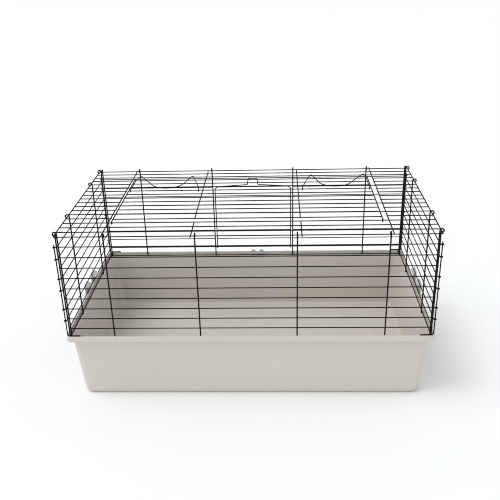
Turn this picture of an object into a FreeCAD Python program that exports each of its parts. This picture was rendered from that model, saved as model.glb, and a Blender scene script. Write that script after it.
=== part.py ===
"""Indoor rabbit cage: a moulded tray with a wire top, a roof lid and a side door.

Units are millimetres. X runs along the length, Y across the depth and Z up. The origin is
the middle of the tray's underside. The long panel at -Y is plain; the one at +Y has the door.
"""

import FreeCAD, Part
import math
import os

V = FreeCAD.Vector

# ---- wire sizes ----------------------------------------------------------------------------
WIRE_D = 2.8            # bars of every mat, and the lid latches
STAY_D = 3.2            # cross stays of the roof, the lid and the door, and the corner rods
UPRIGHT_D = 3.8         # uprights of the four wall mats
WELD = 0.3              # how far crossing wires sink into each other at a weld
PITCH = 30.43           # spacing of the bars
EYE_PLAY = 0.35         # play of a hinge eye round its bar
EYE_SWEEP = 300.0       # how far an eye wraps round, in degrees
HOOK_SWEEP = 270.0      # how far an upright's hook wraps round the roof's edge
HOOK_R = 5.1            # centre line of that hook

# ---- tray ----------------------------------------------------------------------------------
RIM_LENGTH = 1000.0
RIM_DEPTH = 546.8
RIM_CORNER = 15.0
RIM_TOP_Z = 197.0
LEDGE_Z = 184.2         # the wire top stands here, behind the lip
SKIRT_Z = 179.3
LEDGE_THICK = 3.0
LIP_THICK = 3.9
LIP_ROUND = 1.6
BASE_LENGTH = 946.0
BASE_DEPTH = 516.0
BASE_CORNER = 24.0
BODY_TOP_LENGTH = 978.0
BODY_TOP_DEPTH = 525.0
BODY_TOP_CORNER = 24.0
BASE_ROUND = 14.0
TRAY_WALL = 2.8
FLOOR_THICK = 3.0
FLOOR_ROUND = 9.0

# ---- wall mats -----------------------------------------------------------------------------
LONG_Y = 263.6          # bar plane of the two long mats
END_X = 491.0           # bar plane of the two end mats
BAR_COUNT = 10
FIRST_BAR_Z = 187.5
FOOT_Z = LEDGE_Z + 0.3
LONG_BAR_END_X = 488.5
LONG_EDGE_X = 487.2
OUTER_UPRIGHT_X = 364.6
INNER_UPRIGHT_X = 130.3
END_BAR_END_Y = 258.0
END_BAR_DROP = 4.2      # the end mats' bars above the lowest sit this much below the long ones
END_EDGE_Y = 251.5
END_UPRIGHT_Y = 130.0
LONG_EYE_BARS = (3, 6, 9)
END_EYE_BARS = (2, 5, 8)

# ---- roof ----------------------------------------------------------------------------------
ROOF_Z = 488.3          # bar plane of the roof
ROOF_BAR_COUNT = 18     # its first and last bars are its edges
HINGE_BAR = 3           # roof bar that the lid turns on
CATCH_BAR = 15          # roof bar behind the lid
OPENING_LEFT_X = -370.4
OPENING_RIGHT_X = 372.4
STOP_X = 142.1
STOP_TIP_Y = 163.5

# ---- lid and its latches -------------------------------------------------------------------
LID_LEFT_X = -362.6
LID_RIGHT_X = 356.7
LID_MIDDLE_X = 141.1
LID_FIRST_BAR_Y = -145.7
LID_MIDDLE_START_Y = -153.5
LID_END_Y = 178.0
LATCH_BAR = 11          # lid bar that both latches turn on
LATCH_PLAY = 0.3
LATCH_INNER_X = 155.0
LATCH_BESIDE_STAY = 4.2 # from the lid's side stay to the latch's outer leg
LATCH_SHOULDER_IN = 16.5
LATCH_SHOULDER_Y = 155.0
LATCH_OUTER_SHOULDER_Y = 168.0
LATCH_PEAK_INNER_X = 185.5
LATCH_PEAK_OUTER_X = 348.4
LATCH_PEAK_Y = 204.0
LATCH_DIP_X = 237.0     # where the straight sides of the dip would meet
LATCH_DIP_Y = 9.5
LATCH_DIP_R = 50.0
LATCH_LEAD = 9.0        # straight run beside each eye
LATCH_BEND_R = 6.0

# ---- door ----------------------------------------------------------------------------------
DOOR_HINGE_BAR = 1
DOOR_TOP_BAR = 8
DOOR_SIDE_X = 123.5
DOOR_CORNER_R = 12.0
TAB_END_X = 112.0       # where the tab's wire leaves the door's frame
TAB_FOOT_X = 17.0
TAB_FOOT_RISE = 6.0
TAB_HALF_WIDTH = 14.5
TAB_RISE = 26.5
TAB_LEAN = 2.0
TAB_BEND_R = 7.0
TAB_FOOT_R = 3.0

# ---- corner rods ---------------------------------------------------------------------------
ROD_ABOVE_BAR = 8.0
ROD_HOOK_LENGTH = 36.0
ROD_HOOK_OUT = 4.2
ROD_HOOK_STEP = 5.6
ROD_BEND_R = 4.0
ROD_PLAY = 0.1
ROD_OVER_RIM = 0.4

# ---- tray clips ----------------------------------------------------------------------------
CLIP_Y = 28.0           # middle of each end clip
CLIP_PIVOT_X = 504.3
CLIP_PIVOT_Z = 190.0
CLIP_BARREL_R = 3.4
CLIP_HALF = 57.0
CLIP_PRONG = 36.0
CLIP_TOP_Z = 226.0
CLIP_PLATE = 3.0
CLIP_NOSE = 4.5
CLIP_NOSE_X = 492.9
CLIP_NOSE_LOW_Z = 216.2 # just above the end mat's second bar
CLIP_CORNER_R = 4.0
CLIP_ROUND = 5.0
PIN_R = 1.25
PIN_FIT = 0.06
LUG_WIDTH = 6.0
LUG_GAP = 0.5
LUG_OUT_X = 508.0
BACK_CLIP_X = 11.0
BACK_CLIP_WIDTH = 42.0
BACK_CLIP_Y = 267.2
BACK_CLIP_THICK = 3.6
BACK_CLIP_LOW_Z = 196.0
BACK_CLIP_TOP_Z = 205.0
BACK_CLIP_LOBE_R = 7.5

# ---- derived places ------------------------------------------------------------------------
UPRIGHT_OFF = (WIRE_D + UPRIGHT_D) / 2 - WELD
STAY_OFF = (WIRE_D + STAY_D) / 2 - WELD
ROOF_EDGE_Y = LONG_Y + UPRIGHT_OFF - HOOK_R
ROOF_EDGE_X = END_X - UPRIGHT_OFF + HOOK_R
ROOF_END_X = ROOF_EDGE_X + STAY_D / 2
ROOF_PITCH = 2 * ROOF_EDGE_Y / (ROOF_BAR_COUNT - 1)
ROOF_STAY_Z = ROOF_Z + STAY_OFF
HOOK_HOLLOW_R = HOOK_R - UPRIGHT_D / 2
LONG_HOOK_Z = ROOF_Z - WIRE_D / 2 - ROD_PLAY + HOOK_HOLLOW_R
END_HOOK_Z = ROOF_STAY_Z - STAY_D / 2 - ROD_PLAY + HOOK_HOLLOW_R
STOP_Z = ROOF_Z - STAY_OFF
EYE_R = (WIRE_D + STAY_D) / 2 + EYE_PLAY
LID_BAR_Z = ROOF_Z + EYE_R - STAY_OFF
LID_STAY_Z = ROOF_Z + EYE_R
LATCH_EYE_R = WIRE_D + LATCH_PLAY
LATCH_Z = LID_BAR_Z + LATCH_EYE_R
ROD_EYE_R = (WIRE_D + STAY_D) / 2 + ROD_PLAY
ROD_X = END_X + ROD_EYE_R
ROD_Y = LONG_Y + ROD_EYE_R
ROD_FOOT_Z = RIM_TOP_Z + STAY_D / 2 + ROD_OVER_RIM


def bar_z(index):
    """Height of a wall bar, counted from the lowest."""
    return FIRST_BAR_Z + index * PITCH


def end_bar_z(index):
    """Height of an end mat's bar, counted from the lowest."""
    return bar_z(index) - (END_BAR_DROP if index else 0.0)


def roof_bar_y(index):
    """Depth of a roof bar, counted from the plain side."""
    return -ROOF_EDGE_Y + index * ROOF_PITCH


# ---- wire building -------------------------------------------------------------------------
def rod(start, end, diameter):
    """A straight wire between two points."""
    run = end - start
    return Part.makeCylinder(diameter / 2, run.Length, start, run)


def sweep(edges, diameter):
    """A round wire along edges that join smoothly."""
    path = Part.Wire(edges)
    start = edges[0].valueAt(edges[0].FirstParameter)
    tangent = edges[0].tangentAt(edges[0].FirstParameter)
    ring = Part.Wire([Part.makeCircle(diameter / 2, start, tangent)])
    solid = path.makePipe(Part.Face(ring))
    if solid.ShapeType != "Solid":
        solid = solid.Solids[0]
    return solid


def arc_edge(centre, from_centre, axis, degrees):
    """An arc that starts at centre + from_centre and turns about the axis."""
    points = []
    for share in (0.0, 0.5, 1.0):
        turn = FreeCAD.Rotation(axis, degrees * share)
        points.append(centre + turn.multVec(from_centre))
    return Part.Arc(*points).toShape()


def line_edge(start, end):
    """A straight edge."""
    return Part.LineSegment(start, end).toShape()


def rounded_path(points, radii):
    """Edges along points, with an arc of the given radius at each inner point."""
    edges = []
    at = points[0]
    for index, radius in enumerate(radii):
        corner = points[index + 1]
        back = (points[index] - corner).normalize()
        ahead = (points[index + 2] - corner).normalize()
        half = back.getAngle(ahead) / 2
        reach = radius / math.tan(half)
        middle = (back + ahead).normalize() * (radius / math.sin(half) - radius)
        enter = corner + back * reach
        leave = corner + ahead * reach
        if (enter - at).Length > 1e-6:
            edges.append(line_edge(at, enter))
        edges.append(Part.Arc(enter, corner + middle, leave).toShape())
        at = leave
    edges.append(line_edge(at, points[-1]))
    return edges


def weld(pieces):
    """One solid from wires that cross and touch."""
    joined = pieces[0].multiFuse(pieces[1:])
    if len(joined.Solids) != 1:
        raise ValueError("a mat came out as %d solids" % len(joined.Solids))
    return joined.Solids[0]


# ---- wall mats -----------------------------------------------------------------------------
def long_bar(y, z, with_eyes):
    """A full-length bar of a long mat; an eye at each end wraps a corner rod."""
    side = math.copysign(1.0, y)
    if not with_eyes:
        return rod(V(-LONG_BAR_END_X, y, z), V(LONG_BAR_END_X, y, z), WIRE_D)
    left = V(-ROD_X, y, z)
    right = V(ROD_X, y, z)
    inward = V(0, -side * ROD_EYE_R, 0)
    lead = arc_edge(left - inward, inward, V(0, 0, -side), EYE_SWEEP)
    lead = reversed_arc(lead)
    tail = arc_edge(right - inward, inward, V(0, 0, side), EYE_SWEEP)
    return sweep([lead, line_edge(left, right), tail], WIRE_D)


def reversed_arc(arc):
    """The same arc, run from its far end to its near end."""
    first = arc.valueAt(arc.FirstParameter)
    middle = arc.valueAt((arc.FirstParameter + arc.LastParameter) / 2)
    last = arc.valueAt(arc.LastParameter)
    return Part.Arc(last, middle, first).toShape()


def end_bar(x, z, with_eyes):
    """A full-depth bar of an end mat; an eye at each end wraps a corner rod."""
    side = math.copysign(1.0, x)
    if not with_eyes:
        return rod(V(x, -END_BAR_END_Y, z), V(x, END_BAR_END_Y, z), WIRE_D)
    front = V(x, -ROD_Y, z)
    back = V(x, ROD_Y, z)
    inward = V(-side * ROD_EYE_R, 0, 0)
    lead = reversed_arc(arc_edge(front - inward, inward, V(0, 0, side), EYE_SWEEP))
    tail = arc_edge(back - inward, inward, V(0, 0, -side), EYE_SWEEP)
    return sweep([lead, line_edge(front, back), tail], WIRE_D)


def hooked_upright(foot, centre, from_centre, axis):
    """An upright from its foot to a hook that wraps round the roof's edge."""
    top = centre + from_centre
    hook = arc_edge(centre, from_centre, axis, HOOK_SWEEP)
    return sweep([line_edge(foot, top), hook], UPRIGHT_D)


def long_uprights(side):
    """The six uprights on the outer face of a long mat."""
    pieces = []
    for x in (LONG_EDGE_X, OUTER_UPRIGHT_X, INNER_UPRIGHT_X):
        for sign in (-1, 1):
            foot = V(sign * x, side * (LONG_Y + UPRIGHT_OFF), FOOT_Z)
            centre = V(sign * x, side * ROOF_EDGE_Y, LONG_HOOK_Z)
            outward = V(0, side * HOOK_R, 0)
            pieces.append(hooked_upright(foot, centre, outward, V(side, 0, 0)))
    return pieces


def front_panel():
    """The plain long mat."""
    bars = [long_bar(-LONG_Y, bar_z(i), i in LONG_EYE_BARS) for i in range(BAR_COUNT)]
    return weld(bars + long_uprights(-1))


def back_panel():
    """The long mat with the doorway: its bars stop at the inner uprights there."""
    height = (DOOR_TOP_BAR - DOOR_HINGE_BAR) * PITCH
    low = V(-INNER_UPRIGHT_X, LONG_Y - WIRE_D, bar_z(DOOR_HINGE_BAR) + PITCH / 2)
    opening = Part.makeBox(2 * INNER_UPRIGHT_X, 2 * WIRE_D, height, low)
    pieces = []
    for index in range(BAR_COUNT):
        bar = long_bar(LONG_Y, bar_z(index), index in LONG_EYE_BARS)
        if DOOR_HINGE_BAR < index <= DOOR_TOP_BAR:
            pieces.extend(bar.cut(opening).Solids)
        else:
            pieces.append(bar)
    return weld(pieces + long_uprights(1))


def end_panel(side):
    """A short mat, with its uprights on the inner face and their hooks curling outward."""
    x = side * END_X
    pieces = [end_bar(x, end_bar_z(i), i in END_EYE_BARS) for i in range(BAR_COUNT)]
    for y in (-END_EDGE_Y, -END_UPRIGHT_Y, END_UPRIGHT_Y, END_EDGE_Y):
        foot = V(side * (END_X - UPRIGHT_OFF), y, FOOT_Z)
        centre = V(side * ROOF_EDGE_X, y, END_HOOK_Z)
        inward = V(-side * HOOK_R, 0, 0)
        pieces.append(hooked_upright(foot, centre, inward, V(0, side, 0)))
    return weld(pieces)


def corner_rod(side_x, side_y):
    """The rod that pins two mats together, hooked over the tray's lip at its foot."""
    out = ROD_Y + ROD_HOOK_OUT
    points = [
        V(side_x * ROD_X, side_y * ROD_Y, bar_z(max(LONG_EYE_BARS)) + ROD_ABOVE_BAR),
        V(side_x * ROD_X, side_y * ROD_Y, ROD_FOOT_Z),
        V(side_x * (ROD_X - ROD_HOOK_STEP), side_y * out, ROD_FOOT_Z),
        V(side_x * (ROD_X - ROD_HOOK_LENGTH), side_y * out, ROD_FOOT_Z),
    ]
    return sweep(rounded_path(points, [ROD_BEND_R, ROD_BEND_R]), STAY_D)


# ---- roof ----------------------------------------------------------------------------------
def roof_panel():
    """The roof mat, with the lid's opening between its hinge bar and its catch bar."""
    pieces = []
    for index in range(ROOF_BAR_COUNT):
        y = roof_bar_y(index)
        spans = [(-ROOF_END_X, ROOF_END_X)]
        if HINGE_BAR < index < CATCH_BAR:
            left_end = OPENING_LEFT_X + STAY_D / 2
            right_end = OPENING_RIGHT_X - STAY_D / 2
            spans = [(-ROOF_END_X, left_end), (right_end, ROOF_END_X)]
        for low, high in spans:
            pieces.append(rod(V(low, y, ROOF_Z), V(high, y, ROOF_Z), WIRE_D))
    end_y = ROOF_EDGE_Y + WIRE_D / 2
    for x in (-ROOF_EDGE_X, OPENING_LEFT_X, OPENING_RIGHT_X, ROOF_EDGE_X):
        pieces.append(rod(V(x, -end_y, ROOF_STAY_Z), V(x, end_y, ROOF_STAY_Z), STAY_D))
    stay_end = roof_bar_y(HINGE_BAR) + WIRE_D / 2
    for x in (-STOP_X, STOP_X):
        pieces.append(rod(V(x, -end_y, STOP_Z), V(x, stay_end, STOP_Z), STAY_D))
        pieces.append(rod(V(x, STOP_TIP_Y, STOP_Z), V(x, end_y, STOP_Z), STAY_D))
    return weld(pieces)


def roof_lid():
    """The lid mat; the eyes of its two side stays turn on the roof's hinge bar."""
    pieces = []
    low = LID_LEFT_X - STAY_D / 2
    high = LID_RIGHT_X + STAY_D / 2
    depths = [LID_FIRST_BAR_Y] + [roof_bar_y(i) for i in range(HINGE_BAR + 2, CATCH_BAR)]
    for y in depths:
        pieces.append(rod(V(low, y, LID_BAR_Z), V(high, y, LID_BAR_Z), WIRE_D))
    for x in (-LID_MIDDLE_X, LID_MIDDLE_X):
        start = V(x, LID_MIDDLE_START_Y, LID_STAY_Z)
        pieces.append(rod(start, V(x, LID_END_Y, LID_STAY_Z), STAY_D))
    for x in (LID_LEFT_X, LID_RIGHT_X):
        hinge = V(x, roof_bar_y(HINGE_BAR), ROOF_Z)
        top = V(0, 0, EYE_R)
        eye = reversed_arc(arc_edge(hinge, top, V(1, 0, 0), EYE_SWEEP))
        run = line_edge(hinge + top, V(x, LID_END_Y, LID_STAY_Z))
        pieces.append(sweep([eye, run], STAY_D))
    return weld(pieces)


def lid_latch(side):
    """A bent-wire latch: two legs, two peaks that lie on the catch bar, and a dip."""
    pivot_y = roof_bar_y(LATCH_BAR)
    lid_side_x = LID_LEFT_X if side < 0 else LID_RIGHT_X
    outer_x = abs(lid_side_x) - LATCH_BESIDE_STAY
    outline = [
        (LATCH_INNER_X, pivot_y),
        (LATCH_INNER_X, pivot_y + LATCH_LEAD),
        (LATCH_INNER_X + LATCH_SHOULDER_IN, LATCH_SHOULDER_Y),
        (LATCH_PEAK_INNER_X, LATCH_PEAK_Y),
        (LATCH_DIP_X, LATCH_DIP_Y),
        (LATCH_PEAK_OUTER_X, LATCH_PEAK_Y),
        (outer_x, LATCH_OUTER_SHOULDER_Y),
        (outer_x, pivot_y),
    ]
    points = [V(side * x, y, LATCH_Z) for x, y in outline]
    bend = LATCH_BEND_R
    path = rounded_path(points, [2 * bend, 2 * bend, bend / 2, LATCH_DIP_R, bend / 2, 2 * bend])
    top = V(0, 0, LATCH_EYE_R)
    first = arc_edge(points[0] - top, top, V(1, 0, 0), EYE_SWEEP)
    last = arc_edge(points[-1] - top, top, V(1, 0, 0), EYE_SWEEP)
    return sweep([reversed_arc(first)] + path + [last], WIRE_D)


# ---- door ----------------------------------------------------------------------------------
def back_door():
    """The door mat: a bent frame with eyes at its feet, and bars in line with the wall's."""
    hinge_z = bar_z(DOOR_HINGE_BAR)
    frame_y = LONG_Y + EYE_R
    bars_y = frame_y - STAY_OFF
    out = V(0, EYE_R, 0)
    top_z = bar_z(DOOR_TOP_BAR)
    points = [
        V(-DOOR_SIDE_X, frame_y, hinge_z),
        V(-DOOR_SIDE_X, frame_y, top_z),
        V(DOOR_SIDE_X, frame_y, top_z),
        V(DOOR_SIDE_X, frame_y, hinge_z),
    ]
    path = rounded_path(points, [DOOR_CORNER_R, DOOR_CORNER_R])
    first = arc_edge(points[0] - out, out, V(-1, 0, 0), EYE_SWEEP)
    last = arc_edge(points[-1] - out, out, V(-1, 0, 0), EYE_SWEEP)
    pieces = [sweep([reversed_arc(first)] + path + [last], STAY_D)]
    reach = DOOR_SIDE_X + STAY_D / 2
    for index in range(DOOR_HINGE_BAR + 1, DOOR_TOP_BAR):
        z = bar_z(index)
        pieces.append(rod(V(-reach, bars_y, z), V(reach, bars_y, z), WIRE_D))
    return weld(pieces)


def door_tab():
    """The wire that rises along the door's top to an arch that a finger pulls."""
    frame_z = bar_z(DOOR_TOP_BAR)
    foot_y = LONG_Y + EYE_R + STAY_OFF
    arch_y = foot_y + TAB_LEAN
    foot_z = frame_z + TAB_FOOT_RISE
    top_z = frame_z + TAB_RISE
    points = [
        V(-TAB_END_X, foot_y, frame_z),
        V(-TAB_FOOT_X, foot_y, foot_z),
        V(-TAB_HALF_WIDTH, arch_y, top_z),
        V(TAB_HALF_WIDTH, arch_y, top_z),
        V(TAB_FOOT_X, foot_y, foot_z),
        V(TAB_END_X, foot_y, frame_z),
    ]
    return sweep(rounded_path(points, [TAB_FOOT_R, TAB_BEND_R, TAB_BEND_R, TAB_FOOT_R]), WIRE_D)


# ---- tray ----------------------------------------------------------------------------------
def rounded_rectangle(length, depth, corner, z):
    """A closed outline centred on the Z axis."""
    x = length / 2
    y = depth / 2
    points = [V(0, -y, z), V(x, -y, z), V(x, y, z), V(-x, y, z), V(-x, -y, z), V(0, -y, z)]
    return Part.Wire(rounded_path(points, [corner] * 4))


def slab(length, depth, corner, low_z, high_z):
    """A flat plate with rounded corners."""
    outline = rounded_rectangle(length, depth, corner, low_z)
    return Part.Face(outline).extrude(V(0, 0, high_z - low_z))


def edges_at(shape, z):
    """The edges that lie flat at one height."""
    chosen = []
    for edge in shape.Edges:
        box = edge.BoundBox
        if abs(box.ZMin - z) < 1e-4 and abs(box.ZMax - z) < 1e-4:
            chosen.append(edge)
    return chosen


def tub(base, top, base_corner, top_corner, low_z, high_z, bottom_round):
    """A tapered block with rounded corners and a rounded bottom edge."""
    lower = rounded_rectangle(base[0], base[1], base_corner, low_z)
    upper = rounded_rectangle(top[0], top[1], top_corner, high_z)
    block = Part.makeLoft([lower, upper], True, True)
    return block.makeFillet(bottom_round, edges_at(block, low_z))


def clip_lug(side, y):
    """A rounded ear on the lip that holds one end of a clip's pin."""
    reach = LUG_OUT_X - CLIP_PIVOT_X
    low = V(0, y, CLIP_PIVOT_Z - reach)
    root = RIM_LENGTH / 2 - LIP_THICK / 2
    block = Part.makeBox(CLIP_PIVOT_X - root, LUG_WIDTH, 2 * reach, low + V(root, 0, 0))
    nose = Part.makeCylinder(reach, LUG_WIDTH, V(CLIP_PIVOT_X, y, CLIP_PIVOT_Z), V(0, 1, 0))
    ear = block.fuse(nose).removeSplitter()
    if side < 0:
        ear = ear.mirror(V(0, 0, 0), V(1, 0, 0))
    return ear


def lug_starts():
    """Where the two lugs of a clip begin along Y."""
    reach = CLIP_HALF + LUG_GAP
    return (CLIP_Y - reach - LUG_WIDTH, CLIP_Y + reach)


def tray():
    """The moulded tub, its ledge and lip, and the lugs of the two end clips."""
    base = (BASE_LENGTH, BASE_DEPTH)
    top = (BODY_TOP_LENGTH, BODY_TOP_DEPTH)
    body = tub(base, top, BASE_CORNER, BODY_TOP_CORNER, 0.0, LEDGE_Z, BASE_ROUND)
    outer = slab(RIM_LENGTH, RIM_DEPTH, RIM_CORNER, SKIRT_Z, RIM_TOP_Z)
    outer = outer.makeFillet(LIP_ROUND, edges_at(outer, RIM_TOP_Z))
    inner_size = (RIM_LENGTH - 2 * LIP_THICK, RIM_DEPTH - 2 * LIP_THICK)
    inner_corner = RIM_CORNER - LIP_THICK
    recess = slab(*inner_size, inner_corner, LEDGE_Z, RIM_TOP_Z + 1.0)
    under = slab(*inner_size, inner_corner, SKIRT_Z - 1.0, LEDGE_Z - LEDGE_THICK)
    rim = outer.cut(recess).cut(under)
    shell = body.fuse(rim)
    inner_base = (BASE_LENGTH - 2 * TRAY_WALL, BASE_DEPTH - 2 * TRAY_WALL)
    inner_top = (BODY_TOP_LENGTH - 2 * TRAY_WALL, BODY_TOP_DEPTH - 2 * TRAY_WALL)
    corners = (BASE_CORNER - TRAY_WALL, BODY_TOP_CORNER - TRAY_WALL)
    hollow = tub(inner_base, inner_top, *corners, FLOOR_THICK, LEDGE_Z + 1.0, FLOOR_ROUND)
    shell = shell.cut(hollow)
    for side in (-1, 1):
        for start in lug_starts():
            shell = shell.fuse(clip_lug(side, start))
    for side in (-1, 1):
        shell = shell.cut(clip_pin_rod(side, PIN_R + PIN_FIT / 2))
    return shell.Solids[0]


# ---- clips ---------------------------------------------------------------------------------
def clip_pin_rod(side, radius):
    """The line of a clip's pin, through both of its lugs."""
    start, far = lug_starts()
    length = far + LUG_WIDTH - start
    return Part.makeCylinder(radius, length, V(side * CLIP_PIVOT_X, start, CLIP_PIVOT_Z), V(0, 1, 0))


def clip_prong(low_y):
    """One prong of an end clip: a plate with a nose at its top and rounded corners."""
    plate_x = CLIP_PIVOT_X - CLIP_PLATE / 2
    height = CLIP_TOP_Z - CLIP_PIVOT_Z
    plate = Part.makeBox(CLIP_PLATE, CLIP_PRONG, height, V(plate_x, low_y, CLIP_PIVOT_Z))
    nose_size = V(plate_x + CLIP_PLATE - CLIP_NOSE_X, CLIP_PRONG, CLIP_NOSE)
    nose_at = V(CLIP_NOSE_X, low_y, CLIP_NOSE_LOW_Z)
    nose = Part.makeBox(nose_size.x, nose_size.y, nose_size.z, nose_at)
    prong = plate.fuse(nose).removeSplitter()
    corners = []
    for edge in prong.Edges:
        box = edge.BoundBox
        along_x = box.XLength > 1.0 and box.YLength < 1e-6 and box.ZLength < 1e-6
        if along_x and box.ZMin > CLIP_TOP_Z - 1e-4:
            corners.append(edge)
    return prong.makeFillet(CLIP_CORNER_R, corners)


def tray_clip(side):
    """The two-pronged clip that holds an end mat down, turning on its pin."""
    barrel_at = V(CLIP_PIVOT_X, CLIP_Y - CLIP_HALF, CLIP_PIVOT_Z)
    clip = Part.makeCylinder(CLIP_BARREL_R, 2 * CLIP_HALF, barrel_at, V(0, 1, 0))
    web_height = CLIP_BARREL_R + CLIP_ROUND
    web_at = V(CLIP_PIVOT_X - CLIP_PLATE / 2, CLIP_Y - CLIP_HALF, CLIP_PIVOT_Z)
    clip = clip.fuse(Part.makeBox(CLIP_PLATE, 2 * CLIP_HALF, web_height, web_at))
    for low_y in (CLIP_Y - CLIP_HALF, CLIP_Y + CLIP_HALF - CLIP_PRONG):
        clip = clip.fuse(clip_prong(low_y))
    clip = clip.cut(clip_pin_rod(1, PIN_R + PIN_FIT)).removeSplitter()
    if side < 0:
        clip = clip.mirror(V(0, 0, 0), V(1, 0, 0))
    return clip.Solids[0]


def clip_pin(side):
    """The plain pin that an end clip turns on."""
    return clip_pin_rod(side, PIN_R)


def back_rim_clip():
    """A small block behind the doorway's mat, with two rounded lobes."""
    low = V(BACK_CLIP_X - BACK_CLIP_WIDTH / 2, BACK_CLIP_Y - BACK_CLIP_THICK / 2, LEDGE_Z)
    height = BACK_CLIP_LOW_Z - LEDGE_Z
    clip = Part.makeBox(BACK_CLIP_WIDTH, BACK_CLIP_THICK, height, low)
    lobe_z = BACK_CLIP_TOP_Z - BACK_CLIP_LOBE_R
    for sign in (-1, 1):
        x = BACK_CLIP_X + sign * (BACK_CLIP_WIDTH / 2 - BACK_CLIP_LOBE_R)
        at = V(x, BACK_CLIP_Y - BACK_CLIP_THICK / 2, lobe_z)
        clip = clip.fuse(Part.makeCylinder(BACK_CLIP_LOBE_R, BACK_CLIP_THICK, at, V(0, 1, 0)))
    return clip.removeSplitter().Solids[0]


# ---- all nodes -----------------------------------------------------------------------------
def build():
    """Every piece by its node's name."""
    nodes = {
        "tray": tray(),
        "front_panel": front_panel(),
        "back_panel": back_panel(),
        "left_panel": end_panel(-1),
        "right_panel": end_panel(1),
        "roof_panel": roof_panel(),
        "roof_lid": roof_lid(),
        "left_lid_latch": lid_latch(-1),
        "right_lid_latch": lid_latch(1),
        "back_door": back_door(),
        "door_tab": door_tab(),
        "left_tray_clip": tray_clip(-1),
        "right_tray_clip": tray_clip(1),
        "left_clip_pin": clip_pin(-1),
        "right_clip_pin": clip_pin(1),
        "back_rim_clip": back_rim_clip(),
    }
    for side_y, depth_word in ((-1, "front"), (1, "back")):
        for side_x, side_word in ((-1, "left"), (1, "right")):
            name = depth_word + "_" + side_word + "_corner_rod"
            nodes[name] = corner_rod(side_x, side_y)
    return nodes


os.makedirs("parts", exist_ok=True)
for node, shape in build().items():
    if not shape.isValid():
        raise ValueError(node + " is not a valid solid")
    shape.exportStep(os.path.join("parts", node + ".step"))
    print(node, len(shape.Solids), round(shape.Volume), shape.BoundBox)
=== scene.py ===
import math

import bmesh
import bpy
import numpy as np
from mathutils import Matrix, Vector


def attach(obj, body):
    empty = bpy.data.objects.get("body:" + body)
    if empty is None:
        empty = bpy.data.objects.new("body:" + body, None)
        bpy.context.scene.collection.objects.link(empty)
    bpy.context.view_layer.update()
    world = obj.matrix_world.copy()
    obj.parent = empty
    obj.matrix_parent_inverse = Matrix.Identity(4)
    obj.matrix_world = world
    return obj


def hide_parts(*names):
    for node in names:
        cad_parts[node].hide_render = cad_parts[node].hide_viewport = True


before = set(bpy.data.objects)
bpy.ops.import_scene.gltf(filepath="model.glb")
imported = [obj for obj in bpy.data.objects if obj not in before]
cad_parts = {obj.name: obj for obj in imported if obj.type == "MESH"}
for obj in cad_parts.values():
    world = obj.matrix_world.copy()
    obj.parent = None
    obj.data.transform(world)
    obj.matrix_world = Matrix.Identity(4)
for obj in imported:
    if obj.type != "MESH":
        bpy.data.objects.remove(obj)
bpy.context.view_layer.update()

MM = 0.001

# ---- sizes, in millimetres, in the CAD frame -----------------------------------------------
BAR_D = 2.8
STAY_D = 3.2
UPRIGHT_D = 3.8
WELD = 0.3              # how far crossing wires sink into each other
PITCH = 30.43           # spacing of the wall bars
EYE_PLAY = 0.35
EYE_SWEEP = 300.0
HOOK_SWEEP = 270.0
HOOK_R = 5.1            # centre line of an upright's hook round the roof's edge
BEAD_R = 1.75           # weld beads on the wall mats
SMALL_BEAD_R = 1.6      # weld beads on the roof, the lid and the door
BEAD_SQUASH = 0.62

RIM_HALF = (500.0, 273.4)
RIM_CORNER = 15.0
RIM_TOP_Z = 197.0
LEDGE_Z = 184.2         # the wire top stands here, behind the lip
SKIRT_Z = 179.3
UNDER_LEDGE_Z = 181.2
LIP_THICK = 3.9
BASE_HALF = (473.0, 258.0)
BODY_HALF = (489.0, 262.5)
TUB_CORNER = 24.0
LEAST_CORNER = 6.0
BASE_ROUND = 14.0
WALL = 2.8
FLOOR_Z = 3.0
FLOOR_ROUND = 9.0
LIP_ROUND = 1.6
LIP_INNER_ROUND = 1.0
UNDER_RIM_ROUND = 2.5   # where the wall meets the rim's underside
LEDGE_ROUND = 2.0       # where the ledge turns down into the tub

LONG_Y = 263.6
END_X = 491.0
BAR_COUNT = 10
FIRST_BAR_Z = 187.5
FOOT_Z = 184.5          # the uprights end just above the ledge
LONG_BAR_END_X = 488.5
LONG_EDGE_X = 487.2
OUTER_UPRIGHT_X = 364.6
INNER_UPRIGHT_X = 130.3
END_BAR_END_Y = 258.0
END_BAR_DROP = 4.2      # the end mats' bars above the lowest sit this much lower
END_EDGE_Y = 251.5
END_UPRIGHT_Y = 130.0
LONG_EYE_BARS = (3, 6, 9)
END_EYE_BARS = (2, 5, 8)

ROOF_Z = 488.3
ROOF_BAR_COUNT = 18
HINGE_BAR = 3           # roof bar that the lid turns on
CATCH_BAR = 15          # roof bar behind the lid
OPENING_X = (-370.4, 372.4)
STOP_X = 142.1          # stubs under the roof, before and behind its opening
STOP_TIP_Y = 163.5

LID_SIDE_X = (-362.6, 356.7)
LID_MIDDLE_X = 141.1
LID_FIRST_BAR_Y = -145.7
LID_MIDDLE_START_Y = -153.5
LID_END_Y = 178.0
LATCH_BAR = 11          # lid bar that both latches turn on
LATCH_PLAY = 0.3
LATCH_INNER_X = 155.0
LATCH_BESIDE_STAY = 4.2
LATCH_SHOULDER = (171.5, 155.0)
LATCH_OUTER_SHOULDER_Y = 168.0
LATCH_PEAK_X = (185.5, 348.4)
LATCH_PEAK_Y = 204.0
LATCH_DIP = (237.0, 9.5)
LATCH_DIP_R = 50.0
LATCH_LEAD = 9.0
LATCH_SHOULDER_R = 12.0
LATCH_PEAK_R = 3.0

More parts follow.
